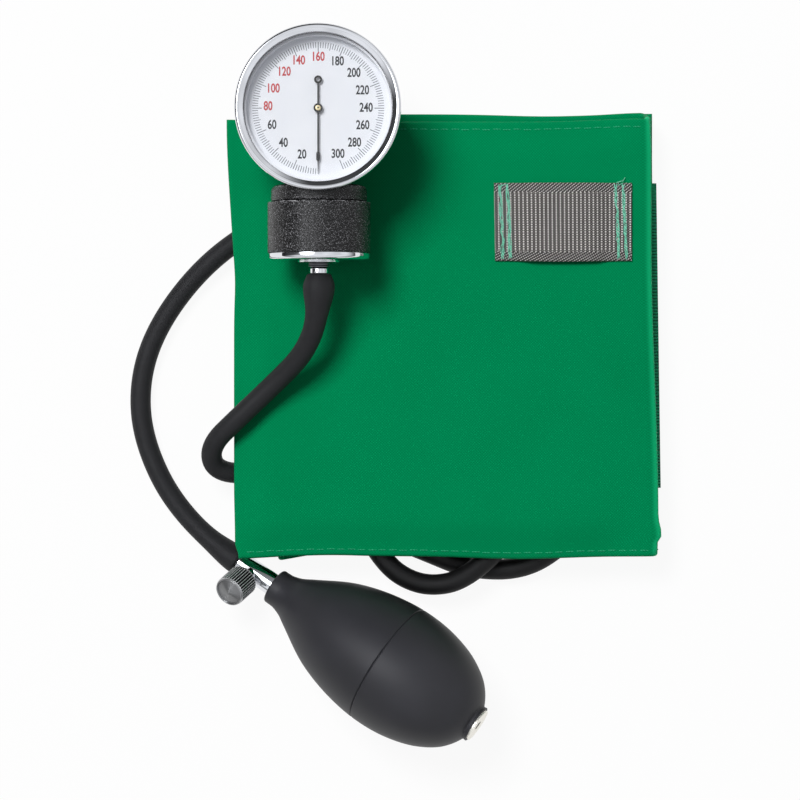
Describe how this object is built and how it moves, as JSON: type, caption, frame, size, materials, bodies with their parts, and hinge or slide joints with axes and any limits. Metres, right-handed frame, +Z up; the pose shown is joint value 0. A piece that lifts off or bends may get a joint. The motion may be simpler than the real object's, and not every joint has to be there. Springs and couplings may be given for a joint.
{
  "type": "blood pressure monitor",
  "caption": "Hand-pumped aneroid blood pressure monitor: folded fabric arm cuff, round dial gauge on a drum, rubber hoses, release valve with thumb screw and squeeze bulb.",
  "frame": {"origin": "middle of the folded cuff's underside, on the surface that it lies on", "axes": "+Z up from that surface, +Y from the gauge's hose nipple to its dial, +X to the cuff's folded edge"},
  "size_m": [0.1814, 0.2391, 0.0622],
  "materials": {
    "green_nylon": "coated woven nylon",
    "bladder_rubber": "moulded rubber sheet",
    "webbing": "ribbed woven tape",
    "tape": "hook and loop tape",
    "hose_rubber": "semi-matt extruded rubber",
    "bulb_rubber": "matt moulded rubber",
    "chrome": "polished plate",
    "black_paint": "crinkle enamel",
    "dial_white": "printed satin enamel",
    "lens_glass": "clear",
    "pointer_black": "satin",
    "brass": "machined",
    "steel": "machined",
    "seal_rubber": "moulded"
  },
  "bodies": {
    "monitor": {"cuff_cover": "green_nylon", "cuff_bladder": "bladder_rubber", "bladder_port_gauge": "bladder_rubber", "bladder_port_bulb": "bladder_rubber", "gauge_loop": "webbing", "hook_tape": "tape", "loop_tape": "tape", "gauge_hose": "hose_rubber", "bulb_hose": "hose_rubber", "drum_housing": "black_paint", "drum_cap": "black_paint", "base_plate": "chrome", "hose_nipple": "chrome", "capsule": "brass", "gauge_hook": "steel", "hook_rivets": "steel", "gauge_case": "black_paint", "case_sleeve": "brass", "sleeve_nut": "brass", "dial_plate": "dial_white", "dial_spacer": "dial_white", "lens_gasket": "seal_rubber", "lens": "lens_glass", "bezel": "chrome", "movement_base": "brass", "movement_bridge": "brass", "movement_pillars": "brass", "movement_screws": "steel", "hairspring": "brass", "bulb": "bulb_rubber", "valve_body": "chrome", "outlet_seat": "brass", "release_o_ring": "seal_rubber", "inlet_valve_body": "chrome", "inlet_retainer": "brass"},
    "sector": {"sector_gear": "brass"},
    "hand": {"pinion_arbor": "steel", "pointer": "pointer_black"},
    "rod": {"push_rod": "steel"},
    "needle": {"release_needle": "steel"},
    "knob": {"release_knob": "chrome"},
    "outlet_flap": {"outlet_disc": "seal_rubber"},
    "inlet_flap": {"inlet_disc": "seal_rubber"}
  },
  "joints": [
    {"name": "sector_turn", "type": "hinge", "parent": "monitor", "child": "sector", "pos_m": [-0.0456, 0.05855, 0.0433], "axis": [0, 0, 1], "range_deg": [0, 28.13]},
    {"name": "pointer_turn", "type": "hinge", "parent": "monitor", "child": "hand", "pos_m": [-0.0416, 0.0743, 0.055], "axis": [0, 0, 1], "range_deg": [-337.5, 0], "deforming": ["hairspring"]},
    {"name": "capsule_push", "type": "slide", "parent": "monitor", "child": "rod", "axis": [0, 1, 0], "range_m": [0, 0.00194], "deforming": ["capsule"]},
    {"name": "release_lift", "type": "slide", "parent": "monitor", "child": "needle", "axis": [-0.4996, -0.4396, 0.7464], "range_m": [0, 0.0015]},
    {"name": "release_turn", "type": "hinge", "parent": "needle", "child": "knob", "pos_m": [-0.06488, -0.07929, 0.00951], "axis": [-0.4996, -0.4396, 0.7464], "range_deg": [0, 720]},
    {"name": "outlet_open", "type": "slide", "parent": "monitor", "child": "outlet_flap", "axis": [-0.8111, 0.5399, -0.225], "range_m": [0, 0.001]},
    {"name": "inlet_open", "type": "slide", "parent": "monitor", "child": "inlet_flap", "axis": [-0.8111, 0.5399, -0.225], "range_m": [0, 0.0015]}
  ],
  "couplings": [
    {"joint": "pointer_turn", "follows": "sector_turn", "ratio": -12},
    {"joint": "capsule_push", "follows": "sector_turn", "m_per_rad": 0.00396},
    {"joint": "release_lift", "follows": "release_turn", "m_per_rad": 0.00011937}
  ]
}
